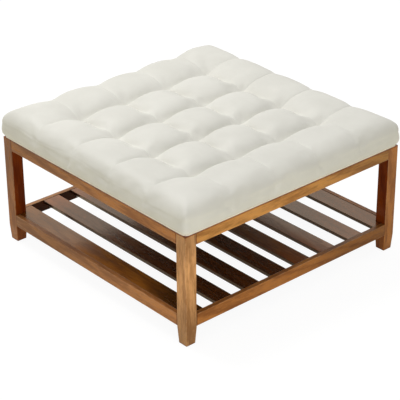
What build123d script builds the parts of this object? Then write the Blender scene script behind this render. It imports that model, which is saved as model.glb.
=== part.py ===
from build123d import *
import math
import os

# A square ottoman coffee table: a leg-and-rail frame with an open slatted shelf, and a cushion
# with sewn tufts for a top. Millimetres, Z up, origin on the floor at the middle of the
# footprint. X runs along the front to the right, and the front faces -Y.

# Frame
table_side = 900
frame_height = 377
leg_side = 42
leg_arris = 2
foot_taper = 3.4
foot_height = 56
apron_height = 38
rail_height = 41
rail_top = 102
rail_thickness = 16
rail_arris = 1.2

# Glides under the feet
glide_radius = 12
glide_thickness = 2
glide_edge = 0.6
glide_nail_radius = 1.2
glide_nail_length = 14
nail_clearance = 0.05

# Shelf slats
slat_count = 8
slat_width = 64
slat_thickness = 11
slat_arris = 1
slat_drop = 1
slat_end_gap = 0.4
slat_side_gap = 0.5
slat_leg_gap = 1
slat_shift_share = (0, 0, 0, 0, -0.1, -0.13, -0.04, 0)

# Braces under the slat ends
brace_leg = 25
brace_width = 16
brace_plate = 2
brace_round = 1.5
brace_hole = 16
brace_hole_radius = 2.3
brace_leg_gap = 1

# Screws of the braces
rail_screw_length = 13
slat_screw_length = 8.5
small_shank_radius = 1.9
small_head_radius = 3.9
small_head_height = 2.4
small_point_length = 2.5
drive_width = 1
drive_length = 4
drive_depth = 1.2

# Dowels in the joints
dowel_radius = 4
dowel_length = 30
dowel_spacing = 20
dowel_clearance = 0.05
dowel_end_gap = 1

# Corner blocks with their screws
block_reach = 100
block_height = 25
block_drop = 3
block_screw_place = 62
block_screw_head = 10
block_screw_length = 22
block_shank_radius = 2
block_head_radius = 4
block_head_height = 3
block_point_length = 3
block_counterbore_radius = 5
thread_clearance = 0.05

# Deck with its bolts and T-nuts
deck_thickness = 12
deck_inset = 6
deck_corner = 14
bolt_place = 32
bolt_radius = 3
bolt_head_radius = 5.5
bolt_head_height = 3.5
bolt_tip_gap = 1.5
bolt_hole_clearance = 0.4
washer_radius = 8
washer_thickness = 1.4
tee_flange_radius = 9.5
tee_flange_thickness = 1.2
tee_barrel_radius = 4
tee_barrel_length = 9
tee_clearance = 0.1

# Cushion: its outer form
hem_height = 4
hem_width = 3
hem_inset = 1.5
foot_inset = 2
bulge_out = 2
shoulder_out = 0.5
shoulder_height = 41
shoulder_dip = 10
crown_height = 93
crease_height = 78
tuft_height = 56
tuft_rows = 4
tuft_pitch = table_side / (tuft_rows + 1)
roll_width = 46
roll_drop = 5
end_crown_place = 62
end_crown_rise = 1
roll_across_share = 0.27
roll_up_share = 0.66
pillow_place_share = (0, 0.25, 0.5, 0.75, 1)
pillow_rise_share = (0, 0.62, 1, 0.62, 0)
edge_rise_share = (0, 0.62, 1, 1, 0.95)
edge_run_out = 20
end_top_rise = 20
corner_prism_out = 20
corner_prism_radius = 86.4

# Cushion: cover, foam, twines and cloth
cover_thickness = 2.5
ledge_height = 1.5
flange_thickness = 1.2
flange_width = 60
foam_clearance = 0.3
twine_radius = 0.8
twine_clearance = 1
twine_washer_radius = 10
twine_washer_thickness = 0.9
twine_fit = 0.1
cloth_thickness = 0.8
cloth_overlap = 10
cloth_staple_length = 10
cloth_staple_wire = 0.7
cloth_staple_leg = 5
cloth_staple_inset = 5
cloth_staple_count = 7

overrun = 5

half = table_side / 2
rail_inner = half - rail_thickness
leg_inner = half - leg_side
leg_middle = half - leg_side / 2
rail_middle = half - rail_thickness / 2
slat_top = rail_top - slat_drop
slat_under = slat_top - slat_thickness
corner_turns = {"back_right": 0, "back_left": 90, "front_left": 180, "front_right": 270}
side_turns = {"front": 0, "right": 90, "back": 180, "left": 270}
parts = {}


def seat(piece, place, outwards):
    """Puts a piece made about the Z axis at a place, with its top facing outwards."""
    return Plane(origin=place, z_dir=outwards).location * piece


def turned(piece, degrees):
    return Rot(0, 0, degrees) * piece


def upright(radius, low, high):
    """A round bar about the Z axis from one height to another."""
    return Pos(0, 0, (low + high) / 2) * Cylinder(radius, high - low)


def joined(pieces):
    return Compound(children=[piece.solid() for piece in pieces])


def screw(shank_radius, length, point_length, head_radius, head_height):
    """A pan-head wood screw with a cross slot: its seat is at zero and its point is below."""
    outline = Polyline(
        (0, -length),
        (shank_radius, point_length - length),
        (shank_radius, 0),
        (head_radius, 0),
        (head_radius, head_height / 2),
    )
    dome = ThreePointArc(
        (head_radius, head_height / 2),
        (head_radius * math.sin(math.pi / 4), head_height * (1 + math.cos(math.pi / 4)) / 2),
        (0, head_height),
    )
    middle = Line((0, head_height), (0, -length))
    body = revolve(Plane.XZ * Face(Wire(outline.edges() + dome.edges() + middle.edges())), Axis.Z)
    slot = Pos(0, 0, head_height) * Box(drive_length, drive_width, 2 * drive_depth)
    return body - slot - turned(slot, 90)


def screw_hole(shank_radius, length):
    """The hole that a screw is driven into, open at its seat."""
    return upright(shank_radius + thread_clearance, -length - thread_clearance, overrun)


def dowel_pair(radius, end_gap):
    """Two dowels along X, one above the other, half in the leg and half in the rail."""
    bar = Rot(0, 90, 0) * Cylinder(radius, dowel_length + 2 * end_gap)
    return [Pos(0, 0, side * dowel_spacing / 2) * bar for side in (-1, 1)]


def joint_heights():
    """The middle heights of the apron joints and of the lower rail joints."""
    return {
        "apron": frame_height - apron_height / 2,
        "lower_rail": rail_top - rail_height / 2,
    }


def dowels_at_corner(height, radius, end_gap):
    """The dowels of both joints of the back right leg, at one level."""
    pieces = []
    for bar in dowel_pair(radius, end_gap):
        pieces.append(Pos(leg_inner, rail_middle, height) * bar)
        pieces.append(Pos(rail_middle, leg_inner, height) * turned(bar, 90))
    return pieces


def dowel_holes():
    holes = []
    for height in joint_heights().values():
        holes += dowels_at_corner(height, dowel_radius + dowel_clearance, dowel_end_gap)
    return holes


# Legs: square posts with eased edges, tapered below the lower rails, a glide under each foot.


def leg():
    middle = Pos(leg_middle, leg_middle)
    bottom = glide_thickness
    full = RectangleRounded(leg_side, leg_side, leg_arris)
    foot_side = leg_side - 2 * foot_taper
    foot = RectangleRounded(foot_side, foot_side, leg_arris)
    post = middle * Pos(0, 0, foot_height) * extrude(full, frame_height - foot_height)
    taper = loft([middle * Pos(0, 0, bottom) * foot, middle * Pos(0, 0, foot_height) * full])
    nail = upright(glide_nail_radius + nail_clearance, bottom - overrun, bottom + glide_nail_length)
    return post + taper - dowel_holes() - middle * nail


def glide():
    """A nylon disc with an eased lower edge and its nail."""
    middle = Pos(leg_middle, leg_middle)
    disc = upright(glide_radius, 0, glide_thickness)
    disc = chamfer(disc.edges().group_by(Axis.Z)[0], glide_edge)
    nail = upright(glide_nail_radius, 0, glide_thickness + glide_nail_length - nail_clearance)
    return middle * (disc + nail)


def make_legs():
    post = leg()
    for corner, angle in corner_turns.items():
        parts["leg_" + corner] = turned(post, angle)
    disc = glide()
    parts["foot_glides"] = joined([turned(disc, angle) for angle in corner_turns.values()])


# Aprons and lower rails: straight boards between the legs, flush with their outer faces.


def board(height, top):
    """A board along the front, its grain and its length along X."""
    length = 2 * leg_inner
    section = Plane.YZ * RectangleRounded(rail_thickness, height, rail_arris)
    return Pos(-leg_inner, -rail_middle, top - height / 2) * extrude(section, length)


def at_both_ends(holes):
    """Holes of the back right corner, carried to both ends of the front boards."""
    angles = (corner_turns["front_left"], corner_turns["front_right"])
    return [turned(hole, angle) for angle in angles for hole in holes]


def make_boards():
    apron = board(apron_height, frame_height) - at_both_ends(dowel_holes() + block_screw_holes())
    rail = board(rail_height, rail_top) - at_both_ends(dowel_holes())
    for side, angle in side_turns.items():
        parts["apron_" + side] = turned(apron, angle)
        parts["lower_rail_" + side] = turned(rail, angle)
    hole = screw_hole(small_shank_radius, rail_screw_length - brace_plate)
    for name, side in (("left", -1), ("right", 1)):
        places = [(side * rail_inner, y, slat_under - brace_hole) for y in brace_places()]
        parts["lower_rail_" + name] -= [seat(hole, place, (-side, 0, 0)) for place in places]


# Shelf: flat slats across the frame, notched round the legs at the front and the back.


def slat_places():
    first = rail_inner - slat_side_gap - slat_width / 2
    pitch = 2 * first / (slat_count - 1)
    return [-first + (i + slat_shift_share[i]) * pitch for i in range(slat_count)]


def brace_places():
    """Each brace is at the middle of its slat's end, as far as the notch round the leg leaves."""
    reach = leg_inner - brace_leg_gap - brace_width / 2
    outer = rail_inner - slat_side_gap - slat_width
    end_middle = (leg_inner - slat_leg_gap + outer) / 2
    places = []
    for y in slat_places():
        places.append(y if abs(y) < reach else math.copysign(end_middle, y))
    return places


def slat(i):
    y = slat_places()[i]
    length = 2 * (rail_inner - slat_end_gap)
    section = Plane.YZ * RectangleRounded(slat_width, slat_thickness, slat_arris)
    piece = Pos(-length / 2, y, slat_top - slat_thickness / 2) * extrude(section, length)
    if abs(y) + slat_width / 2 > leg_inner - slat_leg_gap:
        reach = half - leg_inner + slat_leg_gap
        notch = Box(2 * reach, 2 * reach, 2 * (slat_thickness + overrun))
        for side in (-1, 1):
            piece -= Pos(side * half, math.copysign(half, y), slat_top) * notch
    return piece


def make_slats():
    hole = screw_hole(small_shank_radius, slat_screw_length - brace_plate)
    reach = rail_inner - brace_hole
    for i in range(slat_count):
        places = [(side * reach, brace_places()[i], slat_under) for side in (-1, 1)]
        parts[f"slat_{i + 1}"] = slat(i) - [seat(hole, place, (0, 0, -1)) for place in places]


# Braces: bent plates in the corner between each slat end and the rail, a screw in each leg.


def brace(side, y):
    """The brace at one slat end: one leg on the rail's inner face, one under the slat."""
    profile = make_face(
        Polyline(
            (0, 0),
            (0, -brace_leg),
            (brace_plate, -brace_leg),
            (brace_plate, -brace_plate),
            (brace_leg, -brace_plate),
            (brace_leg, 0),
            close=True,
        )
    )
    inner_bend = profile.vertices().sort_by_distance((brace_plate, -brace_plate, 0))[0]
    profile = fillet(inner_bend, brace_round)
    outer_bend = profile.vertices().sort_by_distance((0, 0, 0))[0]
    profile = fillet(outer_bend, brace_round + brace_plate)
    plate = extrude(Plane.XZ * profile, brace_width / 2, both=True)
    hole = upright(brace_hole_radius, -2 * brace_plate, overrun)
    in_rail_leg = seat(hole, (brace_plate, 0, -brace_hole), (1, 0, 0))
    in_slat_leg = seat(hole, (brace_hole, 0, -brace_plate), (0, 0, -1))
    plate = plate - in_rail_leg - in_slat_leg
    return Pos(side * rail_inner, y, slat_under) * turned(plate, 0 if side < 0 else 180)


def small_screw(length):
    return screw(small_shank_radius, length, small_point_length, small_head_radius, small_head_height)


def make_braces():
    rail_screw = small_screw(rail_screw_length)
    slat_screw = small_screw(slat_screw_length)
    for name, side in (("left", -1), ("right", 1)):
        braces = []
        into_rail = []
        into_slat = []
        for y in brace_places():
            braces.append(brace(side, y))
            on_rail = (side * (rail_inner - brace_plate), y, slat_under - brace_hole)
            under_slat = (side * (rail_inner - brace_hole), y, slat_under - brace_plate)
            into_rail.append(seat(rail_screw, on_rail, (-side, 0, 0)))
            into_slat.append(seat(slat_screw, under_slat, (0, 0, -1)))
        parts["slat_braces_" + name] = joined(braces)
        parts["rail_screws_" + name] = joined(into_rail)
        parts["slat_screws_" + name] = joined(into_slat)


# Dowels: fluted beech pins, glued half in the leg and half in the board.


def make_dowels():
    for level, height in joint_heights().items():
        pins = []
        for angle in corner_turns.values():
            pins += [turned(pin, angle) for pin in dowels_at_corner(height, dowel_radius, 0)]
        parts[level + "_dowels"] = joined(pins)


# Corner blocks: glued between the aprons and round each leg, screwed to both aprons.


def block_screw_seats():
    """Where the two screws of the back right block sit, and which way their heads face."""
    height = frame_height - block_drop - block_height / 2
    along = rail_inner - block_screw_place
    away = rail_inner - block_screw_head
    return [((along, away, height), (0, -1, 0)), ((away, along, height), (-1, 0, 0))]


def block_screw_holes():
    hole = screw_hole(block_shank_radius, block_screw_length)
    return [seat(hole, place, outwards) for place, outwards in block_screw_seats()]


def corner_block():
    top = frame_height - block_drop
    notch = rail_inner - leg_inner
    outline = Polyline(
        (0, -notch),
        (0, -block_reach),
        (-block_reach, 0),
        (-notch, 0),
        (-notch, -notch),
        close=True,
    )
    block = Pos(rail_inner, rail_inner, top - block_height) * extrude(make_face(outline), block_height)
    counterbore = upright(block_counterbore_radius, 0, block_reach)
    sunk = [seat(counterbore, place, outwards) for place, outwards in block_screw_seats()]
    bolt = rail_inner - bolt_place
    bolt_bore = upright(bolt_radius + bolt_hole_clearance, top - block_height - overrun, top + overrun)
    return block - (sunk + block_screw_holes() + [Pos(bolt, bolt) * bolt_bore])


def make_corner_blocks():
    block = corner_block()
    head = (block_head_radius, block_head_height)
    driver = screw(block_shank_radius, block_screw_length, block_point_length, *head)
    driven = []
    for corner, angle in corner_turns.items():
        parts["corner_block_" + corner] = turned(block, angle)
        for place, outwards in block_screw_seats():
            driven.append(turned(seat(driver, place, outwards), angle))
    parts["corner_block_screws"] = joined(driven)


# Deck: a plywood board on the frame's top, over the cover's turned-in flange.


def deck_low():
    return frame_height + flange_thickness


def deck_high():
    return deck_low() + deck_thickness


def tuft_places():
    first = (tuft_rows - 1) * tuft_pitch / 2
    row = [i * tuft_pitch - first for i in range(tuft_rows)]
    return [(x, y) for x in row for y in row]


def at_places(piece, places):
    return [Pos(x, y) * piece for x, y in places]


def corner_bolt_places():
    reach = rail_inner - bolt_place
    return [(x, y) for x in (-reach, reach) for y in (-reach, reach)]


def make_deck():
    side = 2 * (half - deck_inset)
    deck = Pos(0, 0, deck_low()) * extrude(RectangleRounded(side, side, deck_corner), deck_thickness)
    low = deck_low() - overrun
    high = deck_high() + overrun
    twine = upright(twine_radius + twine_clearance, low, high)
    barrel = upright(tee_barrel_radius + tee_clearance, low, high)
    recess = upright(tee_flange_radius + tee_clearance, deck_high() - tee_flange_thickness, high)
    holes = at_places(twine, tuft_places())
    holes += at_places(barrel, corner_bolt_places()) + at_places(recess, corner_bolt_places())
    parts["deck_board"] = deck - holes - staple_slots()


def make_deck_fixings():
    head_top = frame_height - block_drop - block_height - washer_thickness
    tip = deck_high() - bolt_tip_gap
    shank = upright(bolt_radius, head_top, tip)
    head = upright(bolt_head_radius, head_top - bolt_head_height, head_top)
    head = fillet(head.edges().group_by(Axis.Z)[0], bolt_head_height / 2)
    slot = Pos(0, 0, head_top - bolt_head_height) * Box(drive_length, drive_width, 2 * drive_depth)
    bolt = shank + head - slot - turned(slot, 90)
    ring = upright(washer_radius, head_top, head_top + washer_thickness)
    ring -= upright(bolt_radius + bolt_hole_clearance, head_top - overrun, head_top + overrun)
    flange = upright(tee_flange_radius, deck_high() - tee_flange_thickness, deck_high())
    barrel = upright(tee_barrel_radius, deck_high() - tee_barrel_length, deck_high())
    bore = upright(bolt_radius + thread_clearance, deck_low() - overrun, deck_high() + overrun)
    nut = flange + barrel - bore
    parts["deck_bolts"] = joined(at_places(bolt, corner_bolt_places()))
    parts["deck_bolt_washers"] = joined(at_places(ring, corner_bolt_places()))
    parts["deck_tee_nuts"] = joined(at_places(nut, corner_bolt_places()))


# Cushion form: five by five pillows between creases that run through the tufts. A row of
# pillows is a loft through sections across it, and its two ends are cut by the same side and
# roll, lofted the other way.


def heights(rise, inset):
    """Heights of the shoulder, roll, pillow tops and creases where a pillow has risen by a share."""
    top = frame_height + crease_height + (crown_height - crease_height) * rise - inset
    return {
        "base": frame_height + hem_height,
        "shoulder": frame_height + shoulder_height - shoulder_dip * (1 - rise),
        "roll": top - roll_drop,
        "top": top,
        "dip": frame_height + tuft_height + (crease_height - tuft_height) * rise - inset,
    }


def side_points(rise, inset):
    """The side's outline from its bottom edge up over the roll: the foot, two arcs' points."""
    z = heights(rise, inset)
    foot = half - foot_inset - inset
    bulge = half + bulge_out - inset
    shoulder = half + shoulder_out - inset
    roll = half - roll_width
    return [
        (foot, z["base"]),
        (bulge, (z["base"] + z["shoulder"]) / 2),
        (shoulder, z["shoulder"]),
        (
            shoulder + (roll - shoulder) * roll_across_share,
            z["shoulder"] + (z["roll"] - z["shoulder"]) * roll_up_share,
        ),
        (roll, z["roll"]),
    ]


def mirrored(points):
    return [(-across, up) for across, up in reversed(points)]


def arcs(points):
    """Arcs through points, where each arc takes its start, its middle and its end."""
    return [ThreePointArc(*points[i : i + 3]) for i in range(0, len(points) - 2, 2)]


def outline_face(lines):
    return Face(Wire([edge for line in lines for edge in line.edges()]))


def pillow_section(x, rise, inset):
    """A section across a row of pillows, from one side of the cushion to the other."""
    z = heights(rise, inset)
    side = side_points(rise, inset)
    roll = side[-1][0]
    crest = (roll - end_crown_place, z["top"] + end_crown_rise)
    points = side + [crest]
    first = (tuft_rows - 1) * tuft_pitch / 2
    for i in range(tuft_rows - 1):
        points.append((first - i * tuft_pitch, z["dip"]))
        points.append((first - (i + 1 / 2) * tuft_pitch, z["top"]))
    points.append((-first, z["dip"]))
    points += mirrored(side + [crest])
    lines = arcs(points) + [Line(points[-1], points[0])]
    return Plane(origin=(x, 0, 0), x_dir=(0, 1, 0), z_dir=(1, 0, 0)) * outline_face(lines)


def end_section(y, rise, inset):
    """A section the other way: only the sides and rolls, with a flat top above the crown."""
    z = heights(rise, inset)
    side = side_points(rise, inset)
    low = (side[0][0], z["base"] - overrun)
    high = (side[-1][0] - roll_width, frame_height + crown_height + end_top_rise)
    lines = [Line(mirrored([low])[0], low), Line(low, side[0])]
    lines += arcs(side)
    lines += [Line(side[-1], high), Line(high, mirrored([high])[0])]
    lines.append(Line(mirrored([high])[0], mirrored(side)[0]))
    lines += arcs(mirrored(side))
    lines.append(Line(mirrored([side[0]])[0], mirrored([low])[0]))
    return Plane(origin=(0, y, 0), x_dir=(-1, 0, 0), z_dir=(0, 1, 0)) * outline_face(lines)


def rows_of(section, inset):
    """Lofts one solid for each row of pillows and joins the rows at their creases."""
    first = (tuft_rows - 1) * tuft_pitch / 2
    reach = half + bulge_out + edge_run_out - first
    whole = None
    for i in range(tuft_rows - 1):
        start = -first + i * tuft_pitch
        places = [start + share * tuft_pitch for share in pillow_place_share]
        row = loft([section(p, rise, inset) for p, rise in zip(places, pillow_rise_share)])
        whole = row if whole is None else whole + row
    for side in (-1, 1):
        places = [side * (first + share * tuft_pitch) for share in pillow_place_share[:-1]]
        places.append(side * (first + reach))
        made = [section(p, rise, inset) for p, rise in zip(places, edge_rise_share)]
        whole += loft(made if side > 0 else made[::-1])
    return whole


def cushion_form(inset):
    """The cushion's outer form, moved in by an inset."""
    corner_side = 2 * (half + corner_prism_out - inset)
    low = frame_height
    corners = extrude(RectangleRounded(corner_side, corner_side, corner_prism_radius), 2 * crown_height)
    return rows_of(pillow_section, inset) & rows_of(end_section, inset) & (Pos(0, 0, low) * corners)


def rounded_block(reach, corner, low, high):
    return Pos(0, 0, low) * extrude(RectangleRounded(2 * reach, 2 * reach, corner), high - low)


# Cover: one skin over the foam, drawn down in the tufts, turned in under the deck's edge.


def make_cover():
    base = frame_height + hem_height
    top = base + ledge_height
    neck = half - hem_inset - hem_width
    ledge = half - foot_inset - cover_thickness / 2
    cavity = half - deck_inset
    skin = cushion_form(0) - cushion_form(cover_thickness)
    turned_in = rounded_block(neck, deck_corner + neck - cavity, frame_height, base)
    turned_in += rounded_block(ledge, deck_corner, base, top)
    turned_in -= rounded_block(cavity, deck_corner, deck_low(), top + overrun)
    turned_in -= rounded_block(cavity - flange_width, deck_corner, frame_height - overrun, top)
    bolt_bore = upright(bolt_radius + bolt_hole_clearance, frame_height - overrun, top)
    turned_in = turned_in - at_places(bolt_bore, corner_bolt_places()) - staple_slots()
    parts["tufted_cover"] = skin + turned_in


def make_foam():
    """The foam block, cut to the same form inside the cover, with a bore for each twine."""
    inner = cushion_form(cover_thickness + foam_clearance)
    under = rounded_block(half, deck_corner, frame_height, deck_high())
    bore = upright(twine_radius + twine_clearance, frame_height, frame_height + crown_height)
    parts["foam_block"] = inner - [under] - at_places(bore, tuft_places())


def make_twines():
    top = frame_height + tuft_height - cover_thickness - foam_clearance
    low = deck_low() - twine_washer_thickness
    twine = upright(twine_radius, low, top)
    disc = upright(twine_washer_radius, low, deck_low())
    disc -= upright(twine_radius + twine_fit, low - overrun, deck_low() + overrun)
    parts["tuft_twines"] = joined(at_places(twine, tuft_places()))
    parts["tuft_washers"] = joined(at_places(disc, tuft_places()))


def make_hem():
    """A folded strip round the cushion's bottom edge, standing on the frame."""
    outer = half - hem_inset
    corner = deck_corner + outer - (half - deck_inset)
    top = frame_height + hem_height
    hollow = rounded_block(outer - hem_width, corner - hem_width, frame_height - overrun, top + overrun)
    parts["hem_welt"] = rounded_block(outer, corner, frame_height, top) - hollow


# Dust cloth: a thin black cloth under the deck, stapled over the flange's edge.


def cloth_reach():
    return half - deck_inset - flange_width + cloth_overlap


def cloth_staple_seats():
    """The middle of each staple and the side that it is on, along the cloth's four edges."""
    reach = cloth_reach() - cloth_staple_inset
    step = 2 * reach / cloth_staple_count
    seats = []
    for i in range(cloth_staple_count):
        along = -reach + (i + 1 / 2) * step
        for angle in side_turns.values():
            seats.append((along, -reach, angle))
    return seats


def staple_legs(clearance):
    """A staple's two legs, driven up through the cloth and the flange into the deck."""
    wire = cloth_staple_wire + 2 * clearance
    low = frame_height - cloth_thickness - cloth_staple_wire
    leg = extrude(Rectangle(wire, wire), cloth_staple_leg + cloth_staple_wire + clearance)
    reach = (cloth_staple_length - cloth_staple_wire) / 2
    return [Pos(side * reach, 0, low) * leg for side in (-1, 1)]


def staple_slots():
    slots = []
    for x, y, angle in cloth_staple_seats():
        slots += [turned(Pos(x, y) * leg, angle) for leg in staple_legs(nail_clearance)]
    return slots


def make_dust_cloth():
    reach = cloth_reach()
    low = frame_height - cloth_thickness
    cloth = Pos(0, 0, low) * extrude(Rectangle(2 * reach, 2 * reach), cloth_thickness)
    crown = extrude(Rectangle(cloth_staple_length, cloth_staple_wire), cloth_staple_wire)
    staple = Pos(0, 0, low - cloth_staple_wire) * crown + staple_legs(0)
    parts["dust_cloth"] = cloth - staple_slots()
    staples = [turned(Pos(x, y) * staple, angle) for x, y, angle in cloth_staple_seats()]
    parts["dust_cloth_staples"] = joined(staples)


make_legs()
make_boards()
make_slats()
make_braces()
make_dowels()
make_corner_blocks()
make_deck()
make_deck_fixings()
make_cover()
make_foam()
make_twines()
make_hem()
make_dust_cloth()

os.makedirs("parts", exist_ok=True)
for name, piece in parts.items():
    export_step(piece, f"parts/{name}.step")
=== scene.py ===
import math

import bpy
import numpy as np
from mathutils import Matrix, Vector


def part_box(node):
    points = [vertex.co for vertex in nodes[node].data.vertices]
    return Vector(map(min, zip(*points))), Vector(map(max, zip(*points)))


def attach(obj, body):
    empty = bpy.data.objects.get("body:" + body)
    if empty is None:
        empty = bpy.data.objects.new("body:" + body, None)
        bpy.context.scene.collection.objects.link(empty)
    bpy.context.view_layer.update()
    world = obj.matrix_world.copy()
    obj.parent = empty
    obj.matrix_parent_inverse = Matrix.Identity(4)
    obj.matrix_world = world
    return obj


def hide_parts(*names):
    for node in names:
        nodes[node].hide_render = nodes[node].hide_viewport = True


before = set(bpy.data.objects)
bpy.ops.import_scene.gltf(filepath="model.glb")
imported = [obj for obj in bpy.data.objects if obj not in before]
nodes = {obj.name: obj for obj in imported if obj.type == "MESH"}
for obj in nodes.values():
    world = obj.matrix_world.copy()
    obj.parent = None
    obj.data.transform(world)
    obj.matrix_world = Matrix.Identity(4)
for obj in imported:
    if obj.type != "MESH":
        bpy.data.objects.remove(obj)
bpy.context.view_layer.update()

# Legs: four square posts of hardwood, grain upright, with eased arrises and a short taper at the
# foot. They are stained honey brown and lacquered satin. The faces that look into the frame carry
# painted shade and are darker than the outer ones.
X, Y, Z = 0, 1, 2


def put(tree, kind, inputs=(), **settings):
    """Adds a shader node, sets it up, and sets or links its inputs by name or number."""
    node = tree.nodes.new("ShaderNode" + kind)
    for name, value in settings.items():
        setattr(node, name, value)
    for name, value in dict(inputs).items():
        if isinstance(value, bpy.types.NodeSocket):
            tree.links.new(value, node.inputs[name])
        else:
            node.inputs[name].default_value = value
    return node


def calc(tree, operation, a, b=0.0, c=0.0):
    """The result of one Math node."""
    return put(tree, "Math", {0: a, 1: b, 2: c}, operation=operation).outputs[0]


def ease(tree, value, start, end, low=0.0, high=1.0):
    """A smooth step from low to high as the value goes from start to end."""
    inputs = {"Value": value, "From Min": start, "From Max": end, "To Min": low, "To Max": high}
    return put(tree, "MapRange", inputs, interpolation_type="SMOOTHSTEP").outputs["Result"]


def tint(tree, share, a, b, blend_type="MIX"):
    """The first colour with a share of the second."""
    inputs = {0: share, 6: a, 7: b}
    return put(tree, "Mix", inputs, data_type="RGBA", blend_type=blend_type).outputs[2]


def noise(tree, place, scale, detail=3.0, roughness=0.5, distortion=0.0):
    """Cloudy values from 0 to 1, around a half."""
    inputs = {
        "Vector": place,
        "Scale": scale,
        "Detail": detail,
        "Roughness": roughness,
        "Distortion": distortion,
    }
    return put(tree, "TexNoise", inputs).outputs["Fac"]


def effect(name, inputs, outputs):
    """A shader node group with its sockets: the group, what it is given and what it gives."""
    group = bpy.data.node_groups.new(name, "ShaderNodeTree")
    for label, kind in inputs.items():
        group.interface.new_socket(name=label, in_out="INPUT", socket_type="NodeSocket" + kind)
    for label, kind in outputs.items():
        group.interface.new_socket(name=label, in_out="OUTPUT", socket_type="NodeSocket" + kind)
    given = group.nodes.new("NodeGroupInput").outputs
    gives = group.nodes.new("NodeGroupOutput").inputs
    return group, given, gives


def give(group, gives, **values):
    """Links values to the sockets that a node group puts out."""
    for name, value in values.items():
        group.links.new(value, gives[name])


def colour(red, green, blue):
    return (red, green, blue, 1.0)


def new_material(name):
    """A material, its nodes, its surface shader and the place on the object."""
    material = bpy.data.materials.new(name)
    material.use_nodes = True
    tree = material.node_tree
    place = put(tree, "TexCoord").outputs["Object"]
    return material, tree, tree.nodes["Principled BSDF"], place


def show(tree, surface, shade, rough, raised=None, strength=0.0, depth=0.0):
    """Gives a surface its colour, its roughness and, with a height, its fine relief."""
    tree.links.new(shade, surface.inputs["Base Color"])
    if isinstance(rough, bpy.types.NodeSocket):
        tree.links.new(rough, surface.inputs["Roughness"])
    else:
        surface.inputs["Roughness"].default_value = rough
    if raised is not None:
        bump = put(tree, "Bump", {"Height": raised, "Strength": strength, "Distance": depth})
        tree.links.new(bump.outputs["Normal"], surface.inputs["Normal"])


def dress(node, material):
    """Puts a material on all of a CAD node."""
    for slot in nodes[node].material_slots:
        slot.material = material


# The grain: broad bands, narrow streaks and short open pores, all drawn out along the board.
grain, given, gives = effect(
    "wood grain",
    {"Place": "Vector", "Light": "Color", "Dark": "Color", "Wear": "Float", "Rough": "Float"},
    {"Color": "Color", "Roughness": "Float", "Height": "Float"},
)
broad = noise(grain, given["Place"], 17, 2, 0.5, 0.8)
streaks = noise(grain, given["Place"], 150, 5, 0.62, 0.35)
fine = noise(grain, given["Place"], 620, 3, 0.6)
lines = put(
    grain,
    "TexWave",
    {"Vector": given["Place"], "Scale": 14, "Distortion": 7, "Detail": 3, "Detail Scale": 1.4},
    bands_direction="DIAGONAL",
).outputs["Fac"]
pores = ease(grain, fine, 0.60, 0.70)
mixed = calc(grain, "MULTIPLY_ADD", streaks, 0.9, calc(grain, "MULTIPLY", broad, 0.7))
mixed = calc(grain, "MULTIPLY_ADD", lines, 0.22, mixed)
shade = ease(grain, mixed, 0.66, 1.16)
stained = tint(grain, shade, given["Dark"], given["Light"])
stained = tint(grain, calc(grain, "MULTIPLY", pores, 0.3), stained, given["Dark"], "MULTIPLY")
lighter = tint(grain, 0.35, given["Light"], colour(1.0, 0.82, 0.60))
stained = tint(grain, calc(grain, "MULTIPLY", given["Wear"], 0.3), stained, lighter)
rough = calc(grain, "MULTIPLY_ADD", shade, -0.08, given["Rough"])
rough = calc(grain, "MULTIPLY_ADD", given["Wear"], 0.08, rough)
raised = calc(grain, "MULTIPLY_ADD", pores, -0.6, shade)
give(grain, gives, Color=stained, Roughness=rough, Height=raised)

# The wear: where two faces of a board meet, the lacquer is thin, in patches.
wear, given, gives = effect(
    "edge wear", {"Place": "Vector", "Low": "Vector", "High": "Vector"}, {"Wear": "Float"}
)
from_low = put(wear, "VectorMath", {0: given["Place"], 1: given["Low"]}, operation="SUBTRACT")
from_high = put(wear, "VectorMath", {0: given["High"], 1: given["Place"]}, operation="SUBTRACT")
both_sides = {0: from_low.outputs[0], 1: from_high.outputs[0]}
nearest = put(wear, "VectorMath", both_sides, operation="MINIMUM")
ways = put(wear, "SeparateXYZ", {0: nearest.outputs[0]}).outputs
least = calc(wear, "MINIMUM", calc(wear, "MINIMUM", ways[X], ways[Y]), ways[Z])
most = calc(wear, "MAXIMUM", calc(wear, "MAXIMUM", ways[X], ways[Y]), ways[Z])
total = calc(wear, "ADD", calc(wear, "ADD", ways[X], ways[Y]), ways[Z])
second = calc(wear, "SUBTRACT", calc(wear, "SUBTRACT", total, least), most)
patches = ease(wear, noise(wear, given["Place"], 55, 4, 0.6), 0.42, 0.60, 0.25, 1.0)
edge = ease(wear, second, 0.0030, 0.0008)
give(wear, gives, Wear=calc(wear, "MULTIPLY", edge, patches))


# The frame's outline at the faces, and how it draws in at the feet, in metres.
outer_face = 0.4496
inner_face = 0.4478
foot_top = 0.056
foot_slope = 0.063
# Below these heights the painted shade inside the frame fades to half.
foot_shade = (0.048, 0.060)
# The band of painted shadow below the cushion's hem, and the height below which a board is a lower
# rail.
hem_shadow_band = (0.3725, 0.3755)
shelf_level = 0.2
rail_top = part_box("lower_rail_front")[1][Z]
# Colours for the light and the dark of the grain where shade is painted: on the faces inside the
# frame, on the lower rails' inner faces, and on the slats' narrow sides.
painted_inner_shade = ((0.235, 0.042, 0.0040), (0.125, 0.016, 0.0015))
painted_rail_shade = ((0.060, 0.009, 0.0014), (0.030, 0.004, 0.0008))
slat_edge_shade = ((0.030, 0.006, 0.001), (0.020, 0.004, 0.001))


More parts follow.
